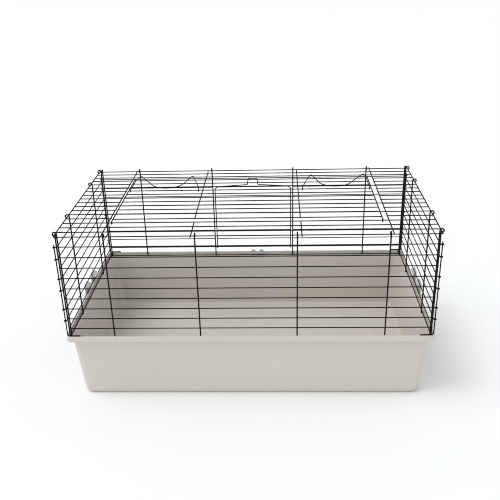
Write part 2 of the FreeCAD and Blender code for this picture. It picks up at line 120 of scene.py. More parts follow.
DOOR_HINGE_BAR = 1      # wall bar that the door turns on
DOOR_TOP_BAR = 8
DOOR_SIDE_X = 123.5
DOOR_CORNER_R = 12.0
TAB_END_X = 112.0
TAB_FOOT_X = 17.0
TAB_FOOT_RISE = 6.0
TAB_HALF_WIDTH = 14.5
TAB_RISE = 26.5
TAB_LEAN = 2.0
TAB_BEND_R = 7.0
TAB_FOOT_R = 3.0
TAB_WELD_IN = 5.0       # weld of the tab's wire, in from its end

ROD_PLAY = 0.1          # of the eyes round a corner rod
ROD_OVER_RIM = 0.4
ROD_ABOVE_BAR = 8.0
ROD_HOOK_OUT = 4.2
ROD_HOOK_STEP = 5.6
ROD_HOOK_LENGTH = 36.0
ROD_BEND_R = 4.0

CLIP_Y = 28.0
CLIP_PIVOT = (504.3, 190.0)
CLIP_HALF = 57.0        # half the clip's width along the tray
CLIP_PRONG = 36.0       # width of each prong
CLIP_PLATE = 3.0
CLIP_BARREL_R = 3.4
CLIP_BORE_R = 1.31
CLIP_WEB_RISE = 8.4     # height of the web between the prongs, above the pivot
CLIP_PLATE_RISE = 1.9   # where the plate starts, inside the barrel
CLIP_NOSE_IN = 2.5      # the nose starts this far in from the prong's sides
CLIP_RIDGES = 3
CLIP_RIDGE_PITCH = 4.0
CLIP_RIDGE_IN = 5.0
CLIP_RIDGE_DROP = 6.0
CLIP_RIDGE_HEIGHT = 1.6
CLIP_RIDGE_CORNER = 0.7
CLIP_RIDGE_DEPTH = 1.3
CLIP_RIDGE_SINK = 0.5   # how far the ridges start inside the plate
CLIP_TOP_Z = 226.0
CLIP_NOSE_X = 492.9
CLIP_NOSE_LOW_Z = 216.2
CLIP_NOSE_HIGH_Z = 220.7
BACK_CLIP_X = 11.0
BACK_CLIP_Y = 267.2
BACK_CLIP_HALF = 21.0
BACK_CLIP_LOBE_R = 7.5
BACK_CLIP_TOP_Z = 205.0
BACK_CLIP_LOW_Z = 196.0
BACK_CLIP_THICK = 3.6

PIN_R = 1.25
LUG_WIDTH = 6.0
LUG_GAP = 0.5
LUG_REACH = 3.68
LUG_ROOT_X = 498.6

# ---- places that follow from them ----------------------------------------------------------
UPRIGHT_OFF = (BAR_D + UPRIGHT_D) / 2 - WELD
STAY_OFF = (BAR_D + STAY_D) / 2 - WELD
ROOF_EDGE_Y = LONG_Y + UPRIGHT_OFF - HOOK_R
ROOF_EDGE_X = END_X - UPRIGHT_OFF + HOOK_R
ROOF_END_X = ROOF_EDGE_X + STAY_D / 2
ROOF_PITCH = 2 * ROOF_EDGE_Y / (ROOF_BAR_COUNT - 1)
ROOF_STAY_Z = ROOF_Z + STAY_OFF
HOOK_HOLLOW_R = HOOK_R - UPRIGHT_D / 2
LONG_HOOK_Z = ROOF_Z - BAR_D / 2 - ROD_PLAY + HOOK_HOLLOW_R
END_HOOK_Z = ROOF_STAY_Z - STAY_D / 2 - ROD_PLAY + HOOK_HOLLOW_R
STOP_Z = ROOF_Z - STAY_OFF
EYE_R = (BAR_D + STAY_D) / 2 + EYE_PLAY
LID_BAR_Z = ROOF_Z + EYE_R - STAY_OFF
LID_STAY_Z = ROOF_Z + EYE_R
LATCH_EYE_R = BAR_D + LATCH_PLAY
LATCH_Z = LID_BAR_Z + LATCH_EYE_R
ROD_EYE_R = (BAR_D + STAY_D) / 2 + ROD_PLAY
ROD_X = END_X + ROD_EYE_R
ROD_Y = LONG_Y + ROD_EYE_R
ROD_FOOT_Z = RIM_TOP_Z + STAY_D / 2 + ROD_OVER_RIM

TUBE_SIDES = 14
BEAD_SIDES = 10
ARC_STEP = 12.0
END_CUT = 0.3           # share of a wire's radius taken off at its cut ends
WIRE_CREASE = 40.0
MOULDING_CREASE = 35.0


def bar_z(index):
    return FIRST_BAR_Z + index * PITCH


def end_bar_z(index):
    return bar_z(index) - (END_BAR_DROP if index else 0.0)


def roof_bar_y(index):
    return -ROOF_EDGE_Y + index * ROOF_PITCH


# ---- paths ---------------------------------------------------------------------------------
def vec(x, y, z):
    return np.array([x, y, z], dtype=float)


def unit(v):
    return v / np.linalg.norm(v)


def turned(v, axis, degrees):
    """v turned about a unit axis."""
    angle = math.radians(degrees)
    along = axis * np.dot(axis, v)
    return along + (v - along) * math.cos(angle) + np.cross(axis, v) * math.sin(angle)


def arc(centre, start, axis, degrees):
    """Points on an arc from centre + start, turning about the axis."""
    steps = max(3, round(abs(degrees) / ARC_STEP))
    return [centre + turned(start, axis, degrees * i / steps) for i in range(steps + 1)]


def rounded(points, radii):
    """A polyline with an arc of the given radius at each inner point."""
    path = [points[0]]
    for index, radius in enumerate(radii):
        corner = points[index + 1]
        back = unit(points[index] - corner)
        ahead = unit(points[index + 2] - corner)
        half = math.acos(np.clip(np.dot(back, ahead), -1, 1)) / 2
        centre = corner + unit(back + ahead) * radius / math.sin(half)
        first = corner + back * radius / math.tan(half) - centre
        axis = unit(np.cross(back, ahead)) * -1
        path.extend(arc(centre, first, axis, 180 - math.degrees(2 * half)))
    path.append(points[-1])
    return path


# ---- wire meshes ---------------------------------------------------------------------------
class Wirework:
    """Gathers round wires and weld beads, then turns them into one mesh."""

    def __init__(self):
        self.verts = []
        self.faces = []

    def _ring(self, centre, across, up, radius, sides):
        first = len(self.verts)
        for i in range(sides):
            angle = 2 * math.pi * i / sides
            offset = across * math.cos(angle) + up * math.sin(angle)
            self.verts.append((centre + offset * radius) * MM)
        return first

    def _bridge(self, one, two, sides):
        for i in range(sides):
            j = (i + 1) % sides
            self.faces.append((one + i, one + j, two + j, two + i))

    def wire(self, points, diameter):
        """A round wire with softly cut ends."""
        sides = TUBE_SIDES
        clean = [points[0]]
        for point in points[1:]:
            if np.linalg.norm(point - clean[-1]) > 1e-4:
                clean.append(point)
        radius = diameter / 2
        tangents = []
        for index in range(len(clean)):
            low = clean[max(index - 1, 0)]
            high = clean[min(index + 1, len(clean) - 1)]
            tangents.append(unit(high - low))
        helper = vec(0, 0, 1) if abs(tangents[0][2]) < 0.9 else vec(1, 0, 0)
        across = unit(np.cross(tangents[0], helper))
        rings = []
        cut = radius * END_CUT
        for index, (point, tangent) in enumerate(zip(clean, tangents)):
            across = unit(across - tangent * np.dot(across, tangent))
            up = np.cross(tangent, across)
            if index == 0:
                rings.append(self._ring(point, across, up, radius - cut, sides))
                point = point + tangent * cut
            last = index == len(clean) - 1
            centre = point - tangent * cut if last else point
            rings.append(self._ring(centre, across, up, radius, sides))
            if last:
                rings.append(self._ring(point, across, up, radius - cut, sides))
        for one, two in zip(rings, rings[1:]):
            self._bridge(one, two, sides)
        self.faces.append(tuple(range(rings[0] + sides - 1, rings[0] - 1, -1)))
        self.faces.append(tuple(range(rings[-1], rings[-1] + sides)))

    def bar(self, start, end, diameter):
        self.wire([start, end], diameter)

    def bead(self, at, lie, radius=BEAD_R):
        """A small flattened weld bead; lie is the direction from one wire to the other."""
        lie = unit(lie)
        helper = vec(1, 0, 0) if abs(lie[0]) < 0.9 else vec(0, 1, 0)
        across = unit(np.cross(lie, helper))
        up = np.cross(lie, across)
        sides = BEAD_SIDES
        rings = []
        for level in (-60, -20, 20, 60):
            tilt = math.radians(level)
            centre = at + lie * radius * BEAD_SQUASH * math.sin(tilt)
            rings.append(self._ring(centre, across, up, radius * math.cos(tilt), sides))
        for one, two in zip(rings, rings[1:]):
            self._bridge(one, two, sides)
        self.faces.append(tuple(range(rings[0] + sides - 1, rings[0] - 1, -1)))
        self.faces.append(tuple(range(rings[-1], rings[-1] + sides)))

    def object(self, name):
        mesh = bpy.data.meshes.new(name)
        mesh.from_pydata([tuple(v) for v in self.verts], [], self.faces)
        return finished_object(name, mesh, WIRE_CREASE)


def finished_object(name, mesh, crease):
    """A smooth-shaded object with edges sharper than the crease kept hard."""
    mesh.validate()
    mesh.update()
    mesh.shade_smooth()
    mesh.set_sharp_from_angle(angle=math.radians(crease))
    obj = bpy.data.objects.new(name, mesh)
    bpy.context.scene.collection.objects.link(obj)
    return obj


def place(obj, body, node, material):
    """Dresses a piece, sets its body and, where given, hides the CAD node that it stands for."""
    obj.data.materials.clear()
    obj.data.materials.append(material)
    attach(obj, body)
    if node:
        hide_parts(node)


# ---- node helpers --------------------------------------------------------------------------
class Nodes:
    """Short spellings for building a material's nodes."""

    def __init__(self, name):
        self.material = bpy.data.materials.new(name)
        self.material.use_nodes = True
        self.tree = self.material.node_tree
        self.shader = self.tree.nodes["Principled BSDF"]
        coordinates = self.tree.nodes.new("ShaderNodeTexCoord")
        self.position = coordinates.outputs["Object"]

    def link(self, out, into):
        self.tree.links.new(out, into)

    def noise(self, scale, detail=3.0, stretch=None, roughness=0.5):
        node = self.tree.nodes.new("ShaderNodeTexNoise")
        node.inputs["Scale"].default_value = scale
        node.inputs["Detail"].default_value = detail
        node.inputs["Roughness"].default_value = roughness
        source = self.position
        if stretch:
            mapping = self.tree.nodes.new("ShaderNodeMapping")
            mapping.inputs["Scale"].default_value = stretch
            self.link(self.position, mapping.inputs["Vector"])
            source = mapping.outputs["Vector"]
        self.link(source, node.inputs["Vector"])
        return node.outputs["Fac"]

    def spread(self, value, low, high, to_low, to_high):
        node = self.tree.nodes.new("ShaderNodeMapRange")
        node.inputs["From Min"].default_value = low
        node.inputs["From Max"].default_value = high
        node.inputs["To Min"].default_value = to_low
        node.inputs["To Max"].default_value = to_high
        self.link(value, node.inputs["Value"])
        return node.outputs["Result"]

    def mix(self, share, one, two):
        node = self.tree.nodes.new("ShaderNodeMix")
        node.data_type = "RGBA"
        colour_inputs = [s for s in node.inputs if s.type == "RGBA"]
        for socket, value in zip(colour_inputs, (one, two)):
            if isinstance(value, tuple):
                socket.default_value = (*value, 1.0)
            else:
                self.link(value, socket)
        self.link(share, node.inputs["Factor"])
        return [s for s in node.outputs if s.type == "RGBA"][0]

    def bump(self, height, distance, strength=1.0, under=None):
        node = self.tree.nodes.new("ShaderNodeBump")
        node.inputs["Distance"].default_value = distance
        node.inputs["Strength"].default_value = strength
        self.link(height, node.inputs["Height"])
        if under:
            self.link(under, node.inputs["Normal"])
        return node.outputs["Normal"]

    def finish(self, colour, roughness, normal):
        self.link(colour, self.shader.inputs["Base Color"])
        self.link(roughness, self.shader.inputs["Roughness"])
        self.link(normal, self.shader.inputs["Normal"])
        return self.material


TRAY_TONES = ((0.612, 0.566, 0.512), (0.652, 0.604, 0.548))
CLIP_TONES = ((0.50, 0.50, 0.49), (0.57, 0.57, 0.56))
WIRE_TONES = ((0.0050, 0.0053, 0.0060), (0.0090, 0.0094, 0.0102))
WIRE_DUST = (0.030, 0.030, 0.030)
WIRE_SPECULAR = 0.09
PIN_TONES = ((0.36, 0.36, 0.37), (0.52, 0.52, 0.53))
FLOOR_TONES = ((0.885, 0.885, 0.885), (0.910, 0.910, 0.910))


def moulded_plastic(name, tones, rough, grain):
    """Injection-moulded plastic: slow tone drift, fine mottling, spark-eroded grain."""
    nodes = Nodes(name)
    drift = nodes.spread(nodes.noise(2.2, 2.0), 0.3, 0.7, 0.0, 1.0)
    tone = nodes.mix(drift, *tones)
    mottle = nodes.spread(nodes.noise(70.0, 4.0), 0.25, 0.75, 0.0, 0.35)
    tone = nodes.mix(mottle, tone, tuple(0.93 * c for c in tones[0]))
    streaks = nodes.noise(18.0, 5.0, stretch=(1.0, 1.0, 0.12))
    shine = nodes.spread(streaks, 0.3, 0.7, rough - 0.05, rough + 0.06)
    fine = nodes.noise(grain, 2.0, roughness=0.6)
    waves = nodes.noise(9.0, 1.0)
    normal = nodes.bump(fine, 0.00005, 0.5, nodes.bump(waves, 0.0006, 0.35))
    return nodes.finish(tone, shine, normal)


def coated_wire(name):
    """Near-black coated steel wire: a thin semi-gloss skin with orange peel and faint dust."""
    nodes = Nodes(name)
    patch = nodes.spread(nodes.noise(38.0, 3.0), 0.35, 0.65, 0.0, 1.0)
    tone = nodes.mix(patch, *WIRE_TONES)
    dust = nodes.spread(nodes.noise(420.0, 4.0), 0.62, 0.85, 0.0, 0.25)
    tone = nodes.mix(dust, tone, WIRE_DUST)
    shine = nodes.spread(nodes.noise(130.0, 3.0), 0.3, 0.7, 0.42, 0.58)
    peel = nodes.noise(650.0, 2.0)
    nodes.shader.inputs["Specular IOR Level"].default_value = WIRE_SPECULAR
    return nodes.finish(tone, shine, nodes.bump(peel, 0.00006, 0.6))


def drawn_steel(name):
    """Plain steel pin with fine lengthwise drawing marks."""
    nodes = Nodes(name)
    marks = nodes.noise(300.0, 4.0, stretch=(6.0, 0.1, 6.0))
    tone = nodes.mix(nodes.spread(marks, 0.3, 0.7, 0.0, 1.0), *PIN_TONES)
    shine = nodes.spread(marks, 0.3, 0.7, 0.28, 0.42)
    nodes.shader.inputs["Metallic"].default_value = 1.0
    return nodes.finish(tone, shine, nodes.bump(marks, 0.00003, 0.5))


# ---- wall mats -----------------------------------------------------------------------------
def long_bar_path(y, z, with_eyes):
    side = math.copysign(1.0, y)
    if not with_eyes:
        return [vec(-LONG_BAR_END_X, y, z), vec(LONG_BAR_END_X, y, z)]
    left = vec(-ROD_X, y, z)
    right = vec(ROD_X, y, z)
    inward = vec(0, -side * ROD_EYE_R, 0)
    lead = arc(left - inward, inward, vec(0, 0, -side), EYE_SWEEP)
    tail = arc(right - inward, inward, vec(0, 0, side), EYE_SWEEP)
    return lead[::-1] + tail


def end_bar_path(x, z, with_eyes):
    side = math.copysign(1.0, x)
    if not with_eyes:
        return [vec(x, -END_BAR_END_Y, z), vec(x, END_BAR_END_Y, z)]
    inward = vec(-side * ROD_EYE_R, 0, 0)
    lead = arc(vec(x, -ROD_Y, z) - inward, inward, vec(0, 0, side), EYE_SWEEP)
    tail = arc(vec(x, ROD_Y, z) - inward, inward, vec(0, 0, -side), EYE_SWEEP)
    return lead[::-1] + tail


def long_panel(side, has_doorway):
    work = Wirework()
    uprights = [s * x for x in (LONG_EDGE_X, OUTER_UPRIGHT_X, INNER_UPRIGHT_X) for s in (-1, 1)]
    y = side * LONG_Y
    for index in range(BAR_COUNT):
        z = bar_z(index)
        path = long_bar_path(y, z, index in LONG_EYE_BARS)
        if has_doorway and DOOR_HINGE_BAR < index <= DOOR_TOP_BAR:
            gap = INNER_UPRIGHT_X
            low = [p for p in path if p[0] < -gap] + [vec(-gap, y, z)]
            high = [vec(gap, y, z)] + [p for p in path if p[0] > gap]
            work.wire(low, BAR_D)
            work.wire(high, BAR_D)
        else:
            work.wire(path, BAR_D)
        for x in uprights:
            work.bead(vec(x, y + side * (BAR_D / 2 - WELD / 2), z), vec(0, 1, 0))
    for x in uprights:
        foot = vec(x, side * (LONG_Y + UPRIGHT_OFF), FOOT_Z)
        centre = vec(x, side * ROOF_EDGE_Y, LONG_HOOK_Z)
        hook = arc(centre, vec(0, side * HOOK_R, 0), vec(side, 0, 0), HOOK_SWEEP)
        work.wire([foot] + hook, UPRIGHT_D)
    return work


def end_panel(side):
    work = Wirework()
    uprights = (-END_EDGE_Y, -END_UPRIGHT_Y, END_UPRIGHT_Y, END_EDGE_Y)
    x = side * END_X
    for index in range(BAR_COUNT):
        z = end_bar_z(index)
        work.wire(end_bar_path(x, z, index in END_EYE_BARS), BAR_D)
        for y in uprights:
            work.bead(vec(x - side * (BAR_D / 2 - WELD / 2), y, z), vec(1, 0, 0))
    for y in uprights:
        foot = vec(side * (END_X - UPRIGHT_OFF), y, FOOT_Z)
        centre = vec(side * ROOF_EDGE_X, y, END_HOOK_Z)
        hook = arc(centre, vec(-side * HOOK_R, 0, 0), vec(0, side, 0), HOOK_SWEEP)
        work.wire([foot] + hook, UPRIGHT_D)
    return work


def corner_rod(side_x, side_y):
    work = Wirework()
    out = side_y * (ROD_Y + ROD_HOOK_OUT)
    top = bar_z(max(LONG_EYE_BARS)) + ROD_ABOVE_BAR
    points = [
        vec(side_x * ROD_X, side_y * ROD_Y, top),
        vec(side_x * ROD_X, side_y * ROD_Y, ROD_FOOT_Z),
        vec(side_x * (ROD_X - ROD_HOOK_STEP), out, ROD_FOOT_Z),
        vec(side_x * (ROD_X - ROD_HOOK_LENGTH), out, ROD_FOOT_Z),
    ]
    work.wire(rounded(points, [ROD_BEND_R, ROD_BEND_R]), STAY_D)
    return work


# ---- roof, lid and latches -----------------------------------------------------------------
def roof_panel():
    work = Wirework()
    stays = (-ROOF_EDGE_X, OPENING_X[0], OPENING_X[1], ROOF_EDGE_X)
    stop_start = roof_bar_y(HINGE_BAR) + BAR_D / 2
    end_y = ROOF_EDGE_Y + BAR_D / 2
    for index in range(ROOF_BAR_COUNT):
        y = roof_bar_y(index)
        spans = [(-ROOF_END_X, ROOF_END_X)]
        if HINGE_BAR < index < CATCH_BAR:
            left_end = OPENING_X[0] + STAY_D / 2
            right_end = OPENING_X[1] - STAY_D / 2
            spans = [(-ROOF_END_X, left_end), (right_end, ROOF_END_X)]
        for low, high in spans:
            work.bar(vec(low, y, ROOF_Z), vec(high, y, ROOF_Z), BAR_D)
        for x in stays:
            work.bead(vec(x, y, ROOF_Z + BAR_D / 2 - WELD / 2), vec(0, 0, 1), SMALL_BEAD_R)
        crosses_stubs = y < stop_start or y > STOP_TIP_Y
        if crosses_stubs:
            for x in (-STOP_X, STOP_X):
                work.bead(vec(x, y, ROOF_Z - BAR_D / 2 + WELD / 2), vec(0, 0, 1), SMALL_BEAD_R)
    for x in stays:
        work.bar(vec(x, -end_y, ROOF_STAY_Z), vec(x, end_y, ROOF_STAY_Z), STAY_D)
    for x in (-STOP_X, STOP_X):
        work.bar(vec(x, -end_y, STOP_Z), vec(x, stop_start, STOP_Z), STAY_D)
        work.bar(vec(x, STOP_TIP_Y, STOP_Z), vec(x, end_y, STOP_Z), STAY_D)
    return work


def roof_lid():
    work = Wirework()
    low = LID_SIDE_X[0] - STAY_D / 2
    high = LID_SIDE_X[1] + STAY_D / 2
    stays = (LID_SIDE_X[0], -LID_MIDDLE_X, LID_MIDDLE_X, LID_SIDE_X[1])
    depths = [LID_FIRST_BAR_Y] + [roof_bar_y(i) for i in range(HINGE_BAR + 2, CATCH_BAR)]
    for y in depths:
        work.bar(vec(low, y, LID_BAR_Z), vec(high, y, LID_BAR_Z), BAR_D)
        for x in stays:
            work.bead(vec(x, y, LID_BAR_Z + BAR_D / 2 - WELD / 2), vec(0, 0, 1), SMALL_BEAD_R)
    for x in (-LID_MIDDLE_X, LID_MIDDLE_X):
        start = vec(x, LID_MIDDLE_START_Y, LID_STAY_Z)
        work.bar(start, vec(x, LID_END_Y, LID_STAY_Z), STAY_D)
    for x in LID_SIDE_X:
        hinge = vec(x, roof_bar_y(HINGE_BAR), ROOF_Z)
        eye = arc(hinge, vec(0, 0, EYE_R), vec(1, 0, 0), EYE_SWEEP)
        work.wire(eye[::-1] + [vec(x, LID_END_Y, LID_STAY_Z)], STAY_D)
    return work


def lid_latch(side):
    work = Wirework()
    pivot_y = roof_bar_y(LATCH_BAR)
    lid_side_x = LID_SIDE_X[0] if side < 0 else LID_SIDE_X[1]
    outer_x = abs(lid_side_x) - LATCH_BESIDE_STAY
    corners = [
        (LATCH_INNER_X, pivot_y),
        (LATCH_INNER_X, pivot_y + LATCH_LEAD),
        LATCH_SHOULDER,
        (LATCH_PEAK_X[0], LATCH_PEAK_Y),
        LATCH_DIP,
        (LATCH_PEAK_X[1], LATCH_PEAK_Y),
        (outer_x, LATCH_OUTER_SHOULDER_Y),
        (outer_x, pivot_y),
    ]
    points = [vec(side * x, y, LATCH_Z) for x, y in corners]
    shoulder = LATCH_SHOULDER_R
    radii = [shoulder, shoulder, LATCH_PEAK_R, LATCH_DIP_R, LATCH_PEAK_R, shoulder]
    path = rounded(points, radii)
    top = vec(0, 0, LATCH_EYE_R)
    first = arc(points[0] - top, top, vec(1, 0, 0), EYE_SWEEP)
    last = arc(points[-1] - top, top, vec(1, 0, 0), EYE_SWEEP)
    work.wire(first[::-1] + path[1:-1] + last, BAR_D)
    return work


# ---- door ----------------------------------------------------------------------------------
def back_door():
    work = Wirework()
    hinge_z = bar_z(DOOR_HINGE_BAR)
    top_z = bar_z(DOOR_TOP_BAR)
    frame_y = LONG_Y + EYE_R
    bars_y = frame_y - STAY_OFF
    outward = vec(0, EYE_R, 0)
    x = DOOR_SIDE_X
    points = [
        vec(-x, frame_y, hinge_z),
        vec(-x, frame_y, top_z),
        vec(x, frame_y, top_z),
        vec(x, frame_y, hinge_z),
    ]
    path = rounded(points, [DOOR_CORNER_R, DOOR_CORNER_R])
    first = arc(points[0] - outward, outward, vec(-1, 0, 0), EYE_SWEEP)
    last = arc(points[-1] - outward, outward, vec(-1, 0, 0), EYE_SWEEP)
    work.wire(first[::-1] + path[1:-1] + last, STAY_D)
    reach = x + STAY_D / 2
    for index in range(DOOR_HINGE_BAR + 1, DOOR_TOP_BAR):
        z = bar_z(index)
        work.bar(vec(-reach, bars_y, z), vec(reach, bars_y, z), BAR_D)
        for side in (-x, x):
            work.bead(vec(side, bars_y + BAR_D / 2 - WELD / 2, z), vec(0, 1, 0), SMALL_BEAD_R)
    return work


def door_tab():
    work = Wirework()
    frame_z = bar_z(DOOR_TOP_BAR)
    foot_y = LONG_Y + EYE_R + STAY_OFF
    arch_y = foot_y + TAB_LEAN
    foot_z = frame_z + TAB_FOOT_RISE
    top_z = frame_z + TAB_RISE
    points = [
        vec(-TAB_END_X, foot_y, frame_z),
        vec(-TAB_FOOT_X, foot_y, foot_z),
        vec(-TAB_HALF_WIDTH, arch_y, top_z),
        vec(TAB_HALF_WIDTH, arch_y, top_z),
        vec(TAB_FOOT_X, foot_y, foot_z),
        vec(TAB_END_X, foot_y, frame_z),
    ]
    work.wire(rounded(points, [TAB_FOOT_R, TAB_BEND_R, TAB_BEND_R, TAB_FOOT_R]), BAR_D)
    for x in (-TAB_END_X + TAB_WELD_IN, TAB_END_X - TAB_WELD_IN):
        work.bead(vec(x, foot_y - BAR_D / 2 + WELD / 2, frame_z), vec(0, 1, 0), SMALL_BEAD_R)
    return work


# ---- tray ----------------------------------------------------------------------------------
CORNER_STEPS = 12
LONG_STEPS = 24
SHORT_STEPS = 14


def outline(half_x, half_y, corner, z):
    """A rounded rectangle, always with the same number of points."""
    points = []
    spans = (
        ((1, -1), -90, SHORT_STEPS, (0, 1)),
        ((1, 1), 0, LONG_STEPS, (-1, 0)),
        ((-1, 1), 90, SHORT_STEPS, (0, -1)),
        ((-1, -1), 180, LONG_STEPS, (1, 0)),
    )
    for (sx, sy), start, straight, (dx, dy) in spans:
        cx = sx * (half_x - corner)
        cy = sy * (half_y - corner)
        for i in range(CORNER_STEPS + 1):
            angle = math.radians(start + 90.0 * i / CORNER_STEPS)
            points.append((cx + corner * math.cos(angle), cy + corner * math.sin(angle), z))
        run = 2 * ((half_y if dy else half_x) - corner)
        ax, ay, _ = points[-1]
        for i in range(1, straight):
            points.append((ax + dx * run * i / straight, ay + dy * run * i / straight, z))
    return points


def wall_ring(z, inset, step=0.0):
    """The tub's outline at height z, pulled in by inset; step is the wall's thickness."""
    share = z / LEDGE_Z
    half_x = BASE_HALF[0] + (BODY_HALF[0] - BASE_HALF[0]) * share - step - inset
    half_y = BASE_HALF[1] + (BODY_HALF[1] - BASE_HALF[1]) * share - step - inset
    return outline(half_x, half_y, TUB_CORNER - step - inset, z)


def foot_ring(inset, z):
    """A ring in a flat face of the tub's foot, with its corners kept round."""
    corner = max(TUB_CORNER - inset, LEAST_CORNER)
    return outline(BASE_HALF[0] - inset, BASE_HALF[1] - inset, corner, z)


def rim_ring(inset, z):
    return outline(RIM_HALF[0] - inset, RIM_HALF[1] - inset, RIM_CORNER - inset, z)


def rim_profile():
    """The lip's section from the skirt's inner foot over the top to the ledge."""
    toe = 0.7
    cut = 0.6
    fillet = 1.2
    rings = [(LIP_THICK, UNDER_LEDGE_Z), (LIP_THICK, SKIRT_Z + cut), (LIP_THICK - cut, SKIRT_Z)]
    rings += [(toe, SKIRT_Z), (0.2, SKIRT_Z + 0.2), (0.0, SKIRT_Z + toe)]
    rings += [(0.0, SKIRT_Z + (RIM_TOP_Z - SKIRT_Z) * share) for share in (0.3, 0.6)]
    for i in range(6):
        angle = math.radians(18.0 * i)
        inset = LIP_ROUND * (1 - math.cos(angle))
        rings.append((inset, RIM_TOP_Z - LIP_ROUND * (1 - math.sin(angle))))
    for i in range(5):
        angle = math.radians(22.5 * i)
        inset = LIP_THICK - LIP_INNER_ROUND * (1 - math.sin(angle))
        rings.append((inset, RIM_TOP_Z - LIP_INNER_ROUND * (1 - math.cos(angle))))
    rings += [(LIP_THICK, LEDGE_Z + fillet), (LIP_THICK + 0.35, LEDGE_Z + 0.35)]
    rings += [(LIP_THICK + fillet, LEDGE_Z)]
    return rings


def tray_shell():
    """The whole moulding as one closed skin, ring by ring from the underside to the floor."""
    rings = []
    for share in (0.5, 0.8, 0.95):
        lead = BASE_ROUND + (BASE_HALF[1] - BASE_ROUND) * (1 - share)
        rings.append(foot_ring(lead, 0.0))
    for i in range(9):
        angle = math.radians(90.0 * i / 8)
        z = BASE_ROUND * (1 - math.cos(angle))
        rings.append(wall_ring(z, BASE_ROUND * (1 - math.sin(angle))))
    for z in (40.0, 75.0, 110.0, 145.0, 170.0):
        rings.append(wall_ring(z, 0.0))
    for i in range(5):
        angle = math.radians(22.5 * i)
        z = UNDER_LEDGE_Z - UNDER_RIM_ROUND * (1 - math.sin(angle))
        rings.append(wall_ring(z, -UNDER_RIM_ROUND * (1 - math.cos(angle))))
    rings += [rim_ring(inset, z) for inset, z in rim_profile()]
    for i in range(5):
        angle = math.radians(22.5 * i)
        z = LEDGE_Z - LEDGE_ROUND * (1 - math.cos(angle))
        rings.append(wall_ring(z, -LEDGE_ROUND * (1 - math.sin(angle)), WALL))
    for z in (150.0, 115.0, 80.0, 45.0, 20.0):
        rings.append(wall_ring(z, 0.0, WALL))
    for i in range(8, -1, -1):
        angle = math.radians(90.0 * i / 8)
        z = FLOOR_Z + FLOOR_ROUND * (1 - math.cos(angle))
        rings.append(wall_ring(z, FLOOR_ROUND * (1 - math.sin(angle)), WALL))
    for share in (0.95, 0.8, 0.5):
        lead = BASE_ROUND + (BASE_HALF[1] - BASE_ROUND) * (1 - share)
        rings.append(foot_ring(lead, FLOOR_Z))
    verts = []
    faces = []
    count = len(rings[0])
    for ring in rings:
        verts.extend([(x * MM, y * MM, z * MM) for x, y, z in ring])
    for level in range(len(rings) - 1):
        low = level * count
        for i in range(count):
            j = (i + 1) % count
            faces.append((low + i, low + j, low + count + j, low + count + i))
    faces.append(tuple(range(count - 1, -1, -1)))
    last = (len(rings) - 1) * count
    faces.append(tuple(range(last, last + count)))
    mesh = bpy.data.meshes.new("tray_shell")
    mesh.from_pydata(verts, [], faces)
    return finished_object("tray_shell", mesh, MOULDING_CREASE)


# ---- small mouldings -----------------------------------------------------------------------
def prism(name, points, thickness, to_world, bevel, segments=3):
    """An outline pushed through a thickness, with its edges rounded over."""
    bm = bmesh.new()
    near = [bm.verts.new(to_world(u, v, 0.0)) for u, v in points]
    far = [bm.verts.new(to_world(u, v, thickness)) for u, v in points]
    bm.faces.new(near[::-1])
    bm.faces.new(far)
    for i in range(len(points)):
        j = (i + 1) % len(points)
        bm.faces.new((near[i], near[j], far[j], far[i]))
    bmesh.ops.recalc_face_normals(bm, faces=bm.faces)
    rims = [e for e in bm.edges if any(len(f.verts) > 4 for f in e.link_faces)]
    bmesh.ops.bevel(
        bm, geom=rims, offset=bevel * MM, segments=segments, affect="EDGES", clamp_overlap=True
    )
    mesh = bpy.data.meshes.new(name)
    bm.to_mesh(mesh)
    bm.free()
    return finished_object(name, mesh, MOULDING_CREASE)


def fillet_2d(points, radii, step=15.0):
    """A closed outline with an arc of the given radius at each point."""
    result = []
    count = len(points)
    for index, radius in enumerate(radii):
        corner = np.array(points[index], dtype=float)
        if radius <= 0:
            result.append(tuple(corner))
            continue
        back = unit(np.array(points[index - 1]) - corner)
        ahead = unit(np.array(points[(index + 1) % count]) - corner)
        half = math.acos(np.clip(np.dot(back, ahead), -1, 1)) / 2
        centre = corner + unit(back + ahead) * radius / math.sin(half)
        first = corner + back * radius / math.tan(half) - centre
        cross = back[0] * ahead[1] - back[1] * ahead[0]
        total = math.copysign(math.pi - 2 * half, -cross)
        steps = max(2, round(math.degrees(abs(total)) / step))
        for i in range(steps + 1):
            a = total * i / steps
            turn = (
                first[0] * math.cos(a) - first[1] * math.sin(a),
                first[0] * math.sin(a) + first[1] * math.cos(a),
            )
            result.append((centre[0] + turn[0], centre[1] + turn[1]))
    return result


def lathe(name, profile, start, direction, sides=28):
    """A closed ring or solid turned about a line; profile holds (radius, along) pairs."""
    axis = unit(direction)
    helper = vec(0, 0, 1) if abs(axis[2]) < 0.9 else vec(1, 0, 0)
    across = unit(np.cross(axis, helper))
    up = np.cross(axis, across)
    verts = []
    for radius, along in profile:
        for i in range(sides):
            a = 2 * math.pi * i / sides
            offset = (across * math.cos(a) + up * math.sin(a)) * radius
            verts.append(tuple((start + axis * along + offset) * MM))
    faces = []
    count = len(profile)
    closed = profile[0][0] > 0.2
    for level in range(count if closed else count - 1):
        low = level * sides
        high = ((level + 1) % count) * sides
        for i in range(sides):
            j = (i + 1) % sides
            faces.append((low + i, high + i, high + j, low + j))
    mesh = bpy.data.meshes.new(name)
    mesh.from_pydata(verts, [], faces)
    bm = bmesh.new()
    bm.from_mesh(mesh)
    bmesh.ops.remove_doubles(bm, verts=bm.verts, dist=1e-6)
    bmesh.ops.recalc_face_normals(bm, faces=bm.faces)
    bm.to_mesh(mesh)
    bm.free()
    return finished_object(name, mesh, MOULDING_CREASE)


